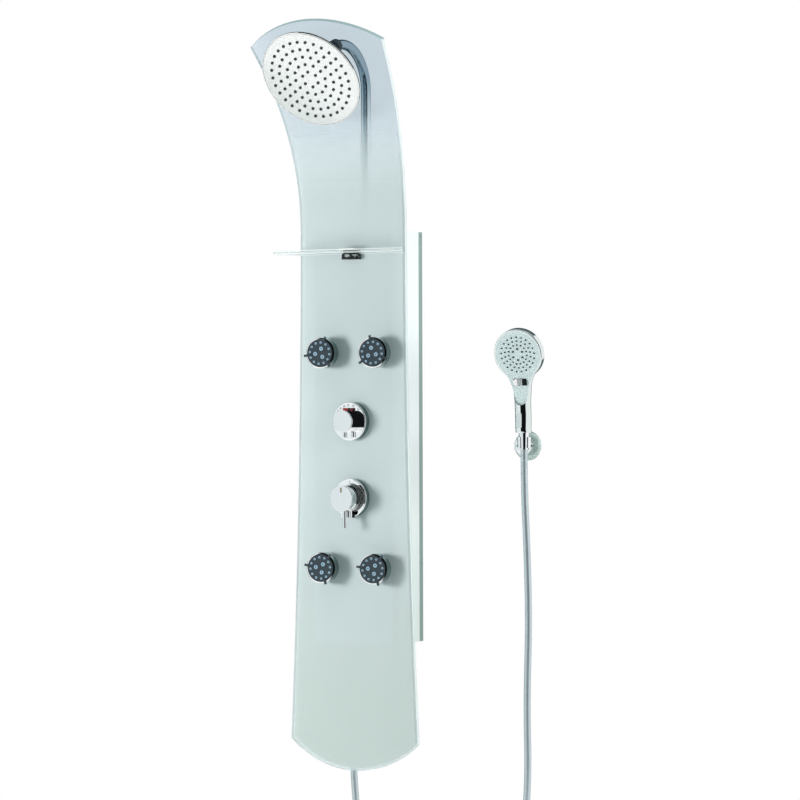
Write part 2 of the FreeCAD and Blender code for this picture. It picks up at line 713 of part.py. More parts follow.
def make_arm(glass):
    start = Vector(0, arm_y, arm_foot_z)
    corner = Vector(0, arm_y, arm_bend_z)
    end = arm_crossing + arm_out * 6
    half = math.radians((90 + arm_drop) / 2)
    middle = arm_centre + Vector(0, arm_bend * math.cos(half), arm_bend * math.sin(half))
    wire = Part.Wire([Part.makeLine(start, corner), Part.Arc(corner, middle, arm_bend_end).toShape(),
                      Part.makeLine(arm_bend_end, end)])
    solid = wire.makePipeShell([Part.Wire(Part.makeCircle(arm_radius, start, up))], True, False)
    bore = wire.makePipeShell([Part.Wire(Part.makeCircle(arm_bore, start, up))], True, False)
    save(solid.cut(bore), "shower_arm")
    print("ball centre", ball_centre)

    # a dark locking collar that follows the bend just behind the head
    ring_start = Vector(0, arm_centre.y - arm_bend * math.sin(math.radians(19)),
                        arm_centre.z + arm_bend * math.cos(math.radians(19)))
    normal = Vector(0, -math.cos(math.radians(19)), -math.sin(math.radians(19)))
    disc = Part.Face(Part.Wire(Part.makeCircle(14.0, ring_start, normal)))
    hole = Part.Face(Part.Wire(Part.makeCircle(arm_radius, ring_start, normal)))
    collar = disc.cut(hole).Faces[0].revolve(arm_centre, Vector(1, 0, 0), 8)
    save(collar, "arm_lock_collar")

    grommet = turned([(0, -glass_thickness - 2.5), (19, -glass_thickness - 2.5), (19, -glass_thickness),
                      (arm_hole, -glass_thickness), (arm_hole, 0), (19, 0), (19, 2), (0, 2)])
    grommet = placed(grommet, arm_crossing, glass_out)
    grommet = grommet.cut(rod(arm_crossing - arm_out * 30, arm_out, arm_radius, 60)).cut(glass)
    save(grommet, "arm_grommet")

    ball = Part.makeSphere(head_ball_radius)
    neck = Part.makeCylinder(6.5, ball_ahead - 6, Vector(0, 0, -ball_ahead + 6), up)
    hexagon = Part.Face(Part.makePolygon([Vector(11.5 * math.cos(math.radians(60 * k)),
                                                 11.5 * math.sin(math.radians(60 * k)), 0) for k in range(7)]))
    nut = hexagon.extrude(Vector(0, 0, 4))
    nut.translate(Vector(0, 0, -ball_ahead + 6))
    plug = Part.makeCylinder(arm_bore, 8, Vector(0, 0, -ball_ahead - 2), up)
    ball = fuse([ball, neck, nut, plug]).cut(Part.makeCylinder(4, 60, Vector(0, 0, -40), up))
    save(placed(ball, ball_centre, arm_out), "head_ball")

    bush = Part.makeSphere(head_bush_radius).cut(Part.makeSphere(head_ball_radius + running))
    bush = bush.common(Part.makeCylinder(head_bush_radius + 1, 10, Vector(0, 0, -4), up))
    save(placed(bush, ball_centre, head_out), "ball_bush")

    collar = turned([(0, -6.5), (14.5, -6.5), [(17.2, -5.4), (18.5, -3)], (19.5, 10), (19.5, 14), (0, 14)])
    collar = collar.cut(Part.makeSphere(head_bush_radius + running))
    collar = collar.cut(Part.makeCone(16.5, 10.3, 7, Vector(0, 0, -12), up))
    collar = collar.cut(Part.makeCylinder(10, 30, Vector(0, 0, 0), up))
    save(placed(collar, ball_centre, head_out), "ball_collar")

    seat_radius = head_radius - 2.1
    back = turned([(10, 14), (24, 14), [(60, 21.5), (98, 28.6)], [(104.0, 30.4), (head_radius, 33.5)],
                   (head_radius, 36), (head_radius - 0.7, 36.7), (seat_radius, 36.7), (seat_radius, 34),
                   [(60, 24.2), (24, 17)], (10, 17)])
    save(placed(back, ball_centre, head_out), "head_back")
    face_radius = seat_radius - 0.1
    plate = turned([(0, 34), (face_radius, 34), (face_radius, head_reach - 0.8), (face_radius - 0.8, head_reach),
                    (0, head_reach)])
    nozzles = []
    for ring, radius in enumerate(head_ring_radii, 1):
        for x, y in ring_of(6 * ring, radius, phase=90):
            nozzles.append(Part.makeCylinder(head_nozzle_radius, 3.6, Vector(x, y, head_reach - 2.4), up))
    plate = plate.cut(group(nozzles))
    save(placed(plate, ball_centre, head_out), "head_face")
    save(placed(group(nozzles), ball_centre, head_out), "head_nozzles")


holder_dx = holder_reach * math.sin(math.radians(holder_turn))
holder_dy = -holder_reach * math.cos(math.radians(holder_turn))
cup_x = holder_x + holder_dx
cup_y = holder_pivot_y + holder_dy


def make_holder():
    centre = (holder_x, 0, holder_z)
    pivot = Vector(holder_x, holder_pivot_y, holder_z)
    plate = turned([(0, 0), (26, 0), (26, 3), (0, 3)])
    for side in (-1, 1):
        plate = plate.cut(Part.makeCylinder(screw_hole, 10, Vector(0, side * screw_offset, -1), up))
    save(placed(plate, centre), "rosette_plate")

    dome = turned([(26.0, 0), (29.5, 0), (29.5, 2), [(25.5, 7.6), (hub_radius, 9.6)], (hub_radius, 24),
                   [(17.6, 27.6), (14, 29)], (0, 30), (0, 5), (24, 5), (26.0, 3)])
    dome = placed(dome, centre)
    slot = block(holder_x - 30, holder_x + 30, -45, holder_pivot_y + 9, holder_z - slot_half, holder_z + slot_half)
    pin = Part.makeCylinder(holder_pin, 4 * slot_half, pivot - up * (2 * slot_half), up)
    save(dome.cut(slot).fuse(pin).removeSplitter(), "rosette")

    # the arm and the slotted cup, made pointing along -Y and then turned
    blade = slot_half - 0.2
    low_end = -4.0
    height = 22.0
    knuckle = Part.makeCylinder(7.5, 2 * blade, Vector(0, 0, -blade), up)
    arm = Part.makeBox(11, holder_reach - 8, 2 * blade, Vector(-5.5, -holder_reach + 8, -blade))
    cup = Part.makeCone(13.0, 14.4, height, Vector(0, -holder_reach, low_end), up)
    holder = fuse([knuckle, arm, cup])
    holder = holder.cut(Part.makeCylinder(holder_pin + running, 20, Vector(0, 0, -10), up))
    slope = (cone_top_radius - cone_foot_radius) / (cone_top - cone_bottom)
    clear = 0.15
    low = cone_foot_radius + (holder_z + low_end - cone_bottom) * slope + clear
    bore = Part.makeCone(low, low + height * slope, height, Vector(0, -holder_reach, low_end), up)
    mouth = Part.makeBox(15.6, 20, 60, Vector(-7.8, -holder_reach - 20, -30))
    holder = holder.cut(bore).cut(mouth)
    holder.rotate(Vector(0, 0, 0), up, holder_turn)
    holder.translate(pivot)
    save(holder, "holder_cup")


def make_handset():
    height = cone_top - cone_bottom
    lathe = turned([(0, 0), (cone_foot_radius, 0), (cone_top_radius, height), (0, height)])
    stub = Part.makeCylinder(6.5, 10, Vector(0, 0, height), up)
    cone = lathe.fuse(stub).removeSplitter()
    cone.translate(Vector(cup_x, cup_y, cone_bottom))
    save(cone, "hose_cone")

    def finish(shape, name):
        copy = spun(shape, (0, 0, 0), (0, 0, 1), handset_turn)
        copy.translate(Vector(cup_x, cup_y, 0))
        save(copy, name)

    # the face is drawn flat and upright, then its lower part leans and its upper part is pitched forward
    def pitched(shape, angle):
        return spun(shape, (0, -handset_front, handset_bend_z), (1, 0, 0), angle)

    # height, half width, half depth and how far the section stands forward of the cone's axis
    sections = [(cone_top + 0.3, 15.92, 15.9, 2.0), (-40, 16.12, 16.1, 3.7), (-14, 16.12, 16.1, 5.3),
                (6, 16.9, 16.3, 6.8), (20, 18.7, 16.0, 8.7), (33, 21.7, 15.0, 12.9), (45.6, 27.5, 14.0, 16.0),
                (58.5, 36.5, 13.0, 19.0), (72, 42.0, 11.0, 22.0)]
    wires = []
    for z, half_x, half_y, ahead in sections:
        wires.append(Part.Wire(Part.Ellipse(Vector(0, -ahead, z), half_x, half_y).toShape()))
    stem = Part.makeLoft(wires, True, False)
    rim = handset_front
    wall_end = handset_front - 16.0
    dome = turned([(0, rim), (48.6, rim), [(49.9, rim - 0.6), (handset_head_radius, rim - 2.0)],
                   (handset_head_radius, wall_end), [(44, -6.5), (28, -10.5)], [(14, -12.2), (2, -12.6)], (0, -12.6)])
    dome = pitched(placed(dome, (0, 0, handset_head_z)), handset_pitch)
    shell = stem.fuse(dome).removeSplitter()

    tip_radius = 12.8
    tip_z = -11.0
    meeting = math.radians(40)
    right = Vector(handset_face_radius * math.cos(meeting), 0,
                   handset_head_z - handset_face_radius * math.sin(meeting))
    swell = Vector(22.5, 0, 39.7)
    neck = Vector(16.4, 0, 20.0)
    waist = Vector(15.6, 0, handset_bend_z)
    tip_side = Vector(tip_radius, 0, tip_z + tip_radius)

    def flip(v):
        return Vector(-v.x, v.y, v.z)

    upper = [Part.Arc(right, Vector(0, 0, handset_head_z + handset_face_radius), flip(right)).toShape(),
             Part.Arc(flip(right), flip(swell), flip(neck)).toShape(),
             Part.makeLine(flip(neck), flip(waist)),
             Part.makeLine(flip(waist), waist),
             Part.makeLine(waist, neck),
             Part.Arc(neck, swell, right).toShape()]
    lap = waist + (neck - waist) * 0.3
    lower = [Part.makeLine(lap, flip(lap)),
             Part.makeLine(flip(lap), flip(waist)),
             Part.makeLine(flip(waist), flip(tip_side)),
             Part.Arc(flip(tip_side), Vector(0, 0, tip_z), tip_side).toShape(),
             Part.makeLine(tip_side, waist),
             Part.makeLine(waist, lap)]

    def bent(front, rear):
        """The face's outline between two depths; its lower part laps behind the upper one at the bend."""
        parts = []
        for edges, angle in ((upper, handset_pitch), (lower, handset_lean)):
            outline = Part.Face(Part.Wire(edges))
            outline.translate(Vector(0, -rear, 0))
            parts.append(pitched(outline.extrude(Vector(0, rear - front, 0)), angle))
        return fuse(parts)

    floor = handset_front - handset_face_depth
    pocket = bent(60.0, floor)
    plate = bent(handset_front, floor)
    well_half = 14.1
    well_height = 6.9
    well = block(-well_half, well_half, -60, -floor + 6.0, button_z - well_height, button_z + well_height)
    well = pitched(well, handset_pitch)
    shell = shell.cut(pocket).cut(well)
    shell = shell.cut(Part.makeCylinder(6.6, 10.3, Vector(0, 0, cone_top), up))
    finish(shell, "handset_shell")

    nozzles = []
    for count, radius, size in handset_rings:
        for x, z in ring_of(count, radius, phase=90):
            nozzles.append(rod((x, 1.8 - handset_front, handset_head_z + z), (0, -1, 0), size, 2.7))
    nozzles = pitched(group(nozzles), handset_pitch)
    plate = plate.cut(nozzles).cut(well)
    finish(plate, "handset_face")
    finish(nozzles, "handset_nozzles")
    button = block(-13.6, 13.6, -handset_front - 3.2, -floor + 3.5, button_z - 6.4, button_z + 6.4)
    ends = [e for e in button.Edges if abs(e.Vertexes[0].Y - e.Vertexes[1].Y) > 1]
    button = button.makeFillet(5.0, ends)
    finish(pitched(button, handset_pitch), "handset_button")


def make_hose():
    hose, length, radii = pipe(hose_route, hose_radius)
    section = math.pi * hose_radius ** 2
    print("hose length %.0f, least radius %.0f, volume ratio %.4f"
          % (length, min(radii), hose.Volume / (section * length)))
    print("hose radii", [round(r) for r in radii])
    save(hose, "shower_hose")


glass_panel = make_glass()
make_casing()
lock_screws = make_wall_parts()
make_plumbing()
make_thermostat()
make_flow_valve()
make_jets()
shelf_screws = make_shelf()
save(group(lock_screws + shelf_screws), "fixing_screws")
make_arm(glass_panel)
make_holder()
make_handset()
make_hose()
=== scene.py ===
# Glass shower panel with overhead shower, body jets, thermostat, shelf and hand shower.
# Metres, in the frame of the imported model: the wall is Y = 0 and the panel faces -Y.
import bpy
import bmesh
import math
from mathutils import Vector, Matrix


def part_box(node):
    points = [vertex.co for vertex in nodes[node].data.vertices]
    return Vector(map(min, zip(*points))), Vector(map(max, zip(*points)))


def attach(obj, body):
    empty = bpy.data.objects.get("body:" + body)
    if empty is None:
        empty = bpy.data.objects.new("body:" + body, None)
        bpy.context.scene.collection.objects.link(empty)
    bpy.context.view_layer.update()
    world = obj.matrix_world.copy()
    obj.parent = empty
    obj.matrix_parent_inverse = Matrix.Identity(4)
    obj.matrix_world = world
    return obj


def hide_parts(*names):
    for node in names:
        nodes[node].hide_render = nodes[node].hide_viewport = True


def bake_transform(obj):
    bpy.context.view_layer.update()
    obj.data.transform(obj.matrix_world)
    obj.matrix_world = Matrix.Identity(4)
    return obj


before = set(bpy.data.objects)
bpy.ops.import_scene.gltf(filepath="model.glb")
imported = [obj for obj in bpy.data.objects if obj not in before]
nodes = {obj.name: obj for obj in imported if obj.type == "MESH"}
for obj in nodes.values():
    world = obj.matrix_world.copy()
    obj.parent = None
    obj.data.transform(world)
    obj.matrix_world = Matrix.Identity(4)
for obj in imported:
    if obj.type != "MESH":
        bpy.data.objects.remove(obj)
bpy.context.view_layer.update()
print("frame loaded:", len(nodes), "nodes")


def direction(azimuth, elevation=0.0):  # from the object outwards, azimuth 0 is straight in front
    a = math.radians(azimuth)
    e = math.radians(elevation)
    return Vector((math.sin(a) * math.cos(e), -math.cos(a) * math.cos(e), math.sin(e)))


def deselect():
    if bpy.context.object and bpy.context.object.mode != "OBJECT":
        bpy.ops.object.mode_set(mode="OBJECT")
    bpy.ops.object.select_all(action="DESELECT")


cameraSet = {"azimuth": 30.0, "target": (0.1097, -0.120, 0.0), "distance": 6.56, "lens": 147.6, "roll": -0.17,
             "sensor": 36.0, "farthest": 50.0}


def makeCamera(look):
    deselect()
    back = direction(look["azimuth"])
    bpy.ops.object.camera_add(location=Vector(look["target"]) + back * look["distance"])
    camera = bpy.context.object
    camera.rotation_mode = "QUATERNION"
    roll = Matrix.Rotation(math.radians(look["roll"]), 4, "Z")
    camera.rotation_quaternion = (back.to_track_quat("Z", "Y").to_matrix().to_4x4() @ roll).to_quaternion()
    camera.data.lens = look["lens"]
    camera.data.sensor_width = look["sensor"]
    camera.data.clip_end = look["farthest"]
    bpy.context.scene.camera = camera
    print("camera made")


makeCamera(cameraSet)

# the hose takes the same route as the solid's, in metres
hoseSet = {
    "radius": 0.007,
    "sides": 28,
    "steps": 26,
    "splitHeight": -0.60,
    "route": [
        (-0.030, -0.070, -0.516), (-0.030, -0.070, -0.610), (-0.033, -0.068, -0.760), (-0.020, -0.062, -0.905),
        (0.055, -0.056, -1.020), (0.165, -0.054, -1.066), (0.275, -0.056, -1.020), (0.350, -0.060, -0.905),
        (0.368, -0.064, -0.760), (0.365, -0.065, -0.600), (0.370, -0.064, -0.440), (0.365, -0.062, -0.290),
        (0.3583, -0.0602, -0.180), (0.3583, -0.0602, -0.0985),
    ],
}


def sampleRoute(points, steps):
    curve = bpy.data.curves.new("route", "CURVE")
    curve.dimensions = "3D"
    curve.resolution_u = steps
    spline = curve.splines.new("NURBS")
    spline.points.add(len(points) - 1)
    for point, place in zip(spline.points, points):
        point.co = (*place, 1.0)
    spline.order_u = 3
    spline.use_endpoint_u = True
    holder = bpy.data.objects.new("route", curve)
    bpy.context.scene.collection.objects.link(holder)
    bpy.context.view_layer.update()
    line = bpy.data.meshes.new_from_object(holder.evaluated_get(bpy.context.evaluated_depsgraph_get()))
    samples = [v.co.copy() for v in line.vertices]
    bpy.data.objects.remove(holder)
    return samples


def lengthOf(samples):
    return sum((b - a).length for a, b in zip(samples, samples[1:]))


def makeTube(name, samples, radius, sides, run=0.0):  # run is the length already passed, for the UV map
    mesh = bpy.data.meshes.new(name)
    tube = bpy.data.objects.new(name, mesh)
    bpy.context.scene.collection.objects.link(tube)
    shape = bmesh.new()
    uv = shape.loops.layers.uv.new("UVMap")
    side = Vector((0, 1, 0))
    rings = []
    runs = []
    for i, place in enumerate(samples):
        ahead = samples[min(i + 1, len(samples) - 1)]
        behind = samples[max(i - 1, 0)]
        along = (ahead - behind).normalized()
        side = (side - along * side.dot(along)).normalized()
        across = along.cross(side)
        ring = []
        for k in range(sides):
            angle = 2 * math.pi * k / sides
            ring.append(shape.verts.new(place + (side * math.cos(angle) + across * math.sin(angle)) * radius))
        rings.append(ring)
        run += (place - samples[i - 1]).length if i else 0.0
        runs.append(run)
    for i in range(len(rings) - 1):
        for k in range(sides):
            turn = (k + 1) % sides
            face = shape.faces.new((rings[i][k], rings[i][turn], rings[i + 1][turn], rings[i + 1][k]))
            face.smooth = True
            corners = ((k, i), (k + 1, i), (k + 1, i + 1), (k, i + 1))
            for loop, (u, v) in zip(face.loops, corners):
                loop[uv].uv = (u / sides, runs[v])
    for ring, order in ((rings[0], -1), (rings[-1], 1)):
        cap = shape.faces.new(ring[::order])
        for edge in cap.edges:
            edge.smooth = False
    bmesh.ops.recalc_face_normals(shape, faces=shape.faces[:])
    shape.to_mesh(mesh)
    shape.free()
    return tube


def makeHose(hose):
    samples = sampleRoute(hose["route"], hose["steps"])
    rising = len(samples) // 2
    split = next(i for i in range(rising, len(samples)) if samples[i].z > hose["splitHeight"])
    parts = {"hose_lower": samples[:split + 1], "hose_upper": samples[split:]}
    tubes = {}
    run = 0.0
    for name, line in parts.items():
        tube = makeTube(name, line, hose["radius"], hose["sides"], run)
        run += lengthOf(line)
        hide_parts("shower_hose")
        lengthOf(line)
        tubes[name] = tube
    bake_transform(tubes["hose_lower"])
    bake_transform(tubes["hose_upper"])
    print("hose made:", round(run, 3), "m")
    return tubes


hose = makeHose(hoseSet)


class Wire:  # a shader socket that takes part in sums
    def __init__(self, tree, socket):
        self.tree = tree
        self.socket = socket

    def combine(self, operation, *others):
        return mathWire(self.tree, operation, self, *others)

    def __add__(self, other):
        return self.combine("ADD", other)

    def __mul__(self, other):
        return self.combine("MULTIPLY", other)

    def __sub__(self, other):
        return self.combine("SUBTRACT", other)

    def __rsub__(self, other):
        return mathWire(self.tree, "SUBTRACT", other, self)

    def __abs__(self):
        return self.combine("ABSOLUTE")

    __radd__ = __add__
    __rmul__ = __mul__


def mathWire(tree, operation, *values):
    node = tree.nodes.new("ShaderNodeMath")
    node.operation = operation
    for place, value in enumerate(values):
        feed(tree, node.inputs[place], value)
    return Wire(tree, node.outputs[0])


def feed(tree, socket, value):  # links a wire, or sets a plain value
    if isinstance(value, Wire):
        tree.links.new(value.socket, socket)
    elif hasattr(value, "__len__") and len(value) == 3 and socket.type == "RGBA":
        socket.default_value = (*value, 1.0)
    else:
        socket.default_value = value


class Finish:  # one material and the wires that make it
    def __init__(self, name, tree=None):
        if tree is None:
            self.material = bpy.data.materials.new(name)
            self.material.use_nodes = True
            tree = self.material.node_tree
        self.tree = tree
        tree.nodes.clear()

    def node(self, kind, settings=None, values=None, output=0):
        node = self.tree.nodes.new(kind)
        for key, value in (settings or {}).items():
            setattr(node, key, value)
        for key, value in (values or {}).items():
            feed(self.tree, node.inputs[key], value)
        return Wire(self.tree, node.outputs[output])

    def coordinates(self, output="Object"):
        return self.node("ShaderNodeTexCoord", output=output)

    def split(self, vector):
        node = self.tree.nodes.new("ShaderNodeSeparateXYZ")
        feed(self.tree, node.inputs[0], vector)
        return [Wire(self.tree, out) for out in node.outputs]

    def stretched(self, vector, scale):
        return self.node("ShaderNodeMapping", None, {"Vector": vector, "Scale": scale})

    def noise(self, vector, scale, detail=3.0, rough=0.5):
        values = {"Vector": vector, "Scale": scale, "Detail": detail, "Roughness": rough}
        return self.node("ShaderNodeTexNoise", None, values)

    def fade(self, value, low, high):  # 0 up to low, 1 from high, smooth between
        values = {"Value": value, "From Min": low, "From Max": high}
        return self.node("ShaderNodeMapRange", {"interpolation_type": "SMOOTHSTEP"}, values)

    def mix(self, factor, first, second):  # colours
        return self.node("ShaderNodeMix", {"data_type": "RGBA"}, {0: factor, 6: first, 7: second}, 2)

    def away(self, vector, centre):
        return self.node("ShaderNodeVectorMath", {"operation": "SUBTRACT"}, {0: vector, 1: centre})

    def facing(self):  # the face's own normal
        return self.node("ShaderNodeNewGeometry", output="True Normal")

    def dot(self, vector, axis):
        return self.node("ShaderNodeVectorMath", {"operation": "DOT_PRODUCT"}, {0: vector, 1: axis}, 1)

    def bump(self, height, distance, strength):
        values = {"Height": height, "Distance": distance, "Strength": strength}
        return self.node("ShaderNodeBump", None, values)

    def surface(self, **values):  # the Principled shader, named by its sockets without their spaces
        shader = self.tree.nodes.new("ShaderNodeBsdfPrincipled")
        names = {socket.name.replace(" ", ""): socket for socket in shader.inputs}
        for key, value in values.items():
            feed(self.tree, names[key], value)
        return Wire(self.tree, shader.outputs[0])

    def done(self, shader):
        out = self.tree.nodes.new("ShaderNodeOutputMaterial")
        self.tree.links.new(shader.socket, out.inputs["Surface"])
        return self.material


def linear(red, green, blue):  # a screen colour, 0 to 255, as light
    return tuple(((c / 255 + 0.055) / 1.055) ** 2.4 if c > 10 else c / 255 / 12.92 for c in (red, green, blue))


def chromeFinish(name, tone=(0.90, 0.92, 0.93), rough=0.03, haze=0.012):
    f = Finish(name)
    place = f.coordinates()
    smear = f.noise(place, 18.0, 4.0, 0.6)
    fine = f.noise(place, 240.0, 2.0)
    roughness = rough + haze * f.fade(smear, 0.45, 0.75) + 0.006 * fine
    shade = f.mix(f.fade(smear, 0.3, 0.8), tone, tuple(c * 0.97 for c in tone))
    return f.done(f.surface(BaseColor=shade, Metallic=1.0, Roughness=roughness))


def brushedFaceFinish(name, centre, axis, tone, low, rough):  # fine circles round the centre, and painted shade that darkens it low left
    f = Finish(name)
    place = f.coordinates()
    away = f.away(place, centre)
    along = f.dot(away, axis)
    square = f.dot(away, away)
    radius = (square - along * along).combine("SQRT")
    rings = f.node("ShaderNodeTexNoise", {"noise_dimensions": "1D"}, {"W": radius, "Scale": 500.0, "Detail": 1.0})
    patch = f.noise(place, 22.0, 3.0)
    ax, ay, az = f.split(away)
    # painted shade: the face turns to the low tone towards its lower left
    shade = f.mix(f.fade(az + ax * 0.8, -0.11, 0.02), low, tone)
    shade = f.mix(rings, shade, tuple(c * 0.99 for c in tone))
    roughness = rough + 0.03 * rings + 0.03 * patch
    return f.done(f.surface(BaseColor=shade, Metallic=1.0, Roughness=roughness,
                            Normal=f.bump(rings, 0.00001, 0.15)))


def rimmedFinish(name, axis, tone=(0.90, 0.92, 0.93), wallReflectionTone=(0.30, 0.39, 0.38), crescentReflection=0.0):
    # chrome with a painted reflection that darkens its walls along the axis, and a painted dark crescent
    # reflection on the right of its bevel
    f = Finish(name)
    place = f.coordinates()
    normal = f.facing()
    facing = f.dot(normal, axis)
    wall = 1 - f.fade(abs(facing), 0.15, 0.45)
    right = Vector((-axis.y, axis.x, 0.0)) + Vector((0.0, 0.0, 0.45))
    bevel = f.fade(f.dot(normal, right), 0.10, 0.30) * f.fade(facing, 0.30, 0.50) * crescentReflection
    smear = f.noise(place, 18.0, 3.0)
    # painted reflection: walls along the axis take the darker wall tone
    shade = f.mix(wall, tone, wallReflectionTone)
    # painted reflection: a dark crescent on the right of the bevel
    shade = f.mix(bevel, shade, (0.03, 0.035, 0.04))
    return f.done(f.surface(BaseColor=shade, Metallic=1.0, Roughness=0.03 + 0.012 * smear + 0.05 * wall))


def armFinish():  # its bend lies in the shade of the glass
    f = Finish("armChrome")
    place = f.coordinates()
    z = f.split(place)[2]
    smear = f.noise(f.stretched(place, (1.0, 1.0, 0.2)), 60.0, 2.0)
    shade = f.mix(f.fade(z, 0.56, 0.66), (0.88, 0.92, 0.94), (0.40, 0.49, 0.55))
    return f.done(f.surface(BaseColor=shade, Metallic=1.0, Roughness=0.04 + 0.02 * smear))


def clampFinish(shelfZ):  # painted reflection: dark below the shelf with pale painted highlight spots, a cream painted highlight above it
    f = Finish("clampChrome")
    place = f.coordinates()
    z = f.split(place)[2]
    smear = f.noise(f.stretched(place, (1.0, 1.0, 2.5)), 90.0, 2.0)
    # painted reflection, dark with pale painted highlight spots
    dark = f.mix(f.fade(smear, 0.52, 0.60), (0.030, 0.034, 0.032), (0.55, 0.58, 0.56))
    shade = f.mix(f.fade(z, shelfZ + 0.003, shelfZ + 0.005), dark, (0.88, 0.87, 0.80))
    return f.done(f.surface(BaseColor=shade, Metallic=1.0, Roughness=0.06))


def rosetteFinish():  # the cover's broad band is matt, and its grey-green is a painted reflection; the hub is bright
    f = Finish("rosetteChrome")
    place = f.coordinates()
    y = f.split(place)[1]
    cover = f.fade(y, -0.0125, -0.0115)
    cloud = f.noise(place, 24.0, 3.0)
    # painted reflection: the band's grey-green tones
    band = f.mix(cloud, linear(176, 193, 189), linear(186, 201, 197))
    shade = f.mix(cover, (0.90, 0.92, 0.93), band)
    roughness = 0.035 + 0.22 * cover + 0.01 * cloud
    return f.done(f.surface(BaseColor=shade, Metallic=1 - cover * 0.75, Roughness=roughness))


def ribbedFinish(name, centre, across, pitch):  # painted highlight at its left, ribs as painted light and dark stripes in the middle, painted black reflection at its right
    f = Finish(name)
    place = f.coordinates()
    away = f.away(place, centre)
    along = f.dot(away, across)
    ribs = (along * (2 * math.pi / pitch)).combine("SINE")
    cloud = f.noise(place, 60.0, 2.0)
    # ribs drawn as painted light and dark stripes
    middle = f.mix(f.fade(ribs, -0.6, 0.6), (0.28, 0.32, 0.33), (0.50, 0.55, 0.56))
    # painted highlight at the left end
    shade = f.mix(f.fade(along, -0.0055, -0.0045), (0.92, 0.93, 0.94), middle)
    # painted black reflection at the right end
    shade = f.mix(f.fade(along, 0.0050, 0.0060), shade, (0.015, 0.017, 0.018))
    return f.done(f.surface(BaseColor=shade, Metallic=1.0, Roughness=0.14 + 0.04 * cloud))


def buttonFinish(tone, shaded):  # the part right of the middle lies in the knob's shade
    f = Finish("redButton")
    place = f.coordinates()
    x = f.split(place)[0]
    texture = f.noise(place, 300.0, 2.0)
    return f.done(f.surface(BaseColor=f.mix(f.fade(x, 0.0046, 0.0058), tone, shaded),
                            Roughness=0.22 + 0.05 * texture, CoatWeight=0.4))


def machinedFinish(name, tone, rough):
    f = Finish(name)
    place = f.coordinates()
    grain = f.noise(f.stretched(place, (1.0, 1.0, 0.12)), 900.0, 3.0)
    patch = f.noise(place, 40.0, 4.0)
    shade = f.mix(f.fade(patch, 0.3, 0.7), tone, tuple(c * 0.86 for c in tone))
    return f.done(f.surface(BaseColor=shade, Metallic=1.0, Roughness=rough + 0.12 * patch,
                            Normal=f.bump(grain, 0.00003, 0.4)))


def anodisedFinish(name, tone):
    f = Finish(name)
    place = f.coordinates()
    z = f.split(place)[2]
    lines = f.noise(f.stretched(place, (900.0, 900.0, 6.0)), 1.0, 2.0)
    # painted shade: darker low down
    shade = f.mix(f.fade(z, -0.5, 0.35), tuple(c * 0.82 for c in tone), tone)
    return f.done(f.surface(BaseColor=shade, Metallic=0.35, Roughness=0.38 + 0.08 * lines,
                            Normal=f.bump(lines, 0.00002, 0.5)))


def braidFinish(name):
    f = Finish(name)
    place = f.coordinates()
    x, y, z = f.split(place)
    first = ((z + x * 0.7 + y * 0.7) * 1500.0).combine("SINE")
    second = ((z - x * 0.7 - y * 0.7) * 1500.0).combine("SINE")
    weave = first.combine("MAXIMUM", second)
    shade = f.mix(f.fade(weave, -0.2, 0.9), (0.10, 0.105, 0.11), (0.62, 0.63, 0.64))
    return f.done(f.surface(BaseColor=shade, Metallic=0.9, Roughness=0.38, Normal=f.bump(weave, 0.0003, 0.6)))


def plasticFinish(name, tone, rough, grain=0.00002, coat=0.0, speckle=0.04):  # no grain is a polished surface
    f = Finish(name)
    place = f.coordinates()
    cloud = f.noise(place, 30.0, 3.0)
    dark = tuple(c * (1 - speckle) for c in tone)
    light = tuple(min(1.0, c * (1 + speckle)) for c in tone)
    shade = f.mix(f.fade(cloud, 0.3, 0.7), dark, light)
    if not grain:
        return f.done(f.surface(BaseColor=shade, Roughness=rough + 0.03 * cloud, CoatWeight=coat))
    texture = f.noise(place, 900.0, 2.0)
    return f.done(f.surface(BaseColor=shade, Roughness=rough + 0.06 * texture, CoatWeight=coat,
                            Normal=f.bump(texture, grain, 0.5)))


def paintFinish(name, tone, low, rough=0.28):
    f = Finish(name)
    place = f.coordinates()
    z = f.split(place)[2]
    peel = f.noise(place, 420.0, 2.0)
    cloud = f.noise(place, 6.0, 2.0)
    # painted shade: darker low down, through the low tone
    shade = f.mix(f.fade(z, -0.50, 0.05), low, tone)
    shade = f.mix(cloud * 0.015, shade, (0.5, 0.5, 0.5))
    return f.done(f.surface(BaseColor=shade, Roughness=rough + 0.05 * peel, CoatWeight=0.15,
                            Normal=f.bump(peel, 0.00004, 0.35)))


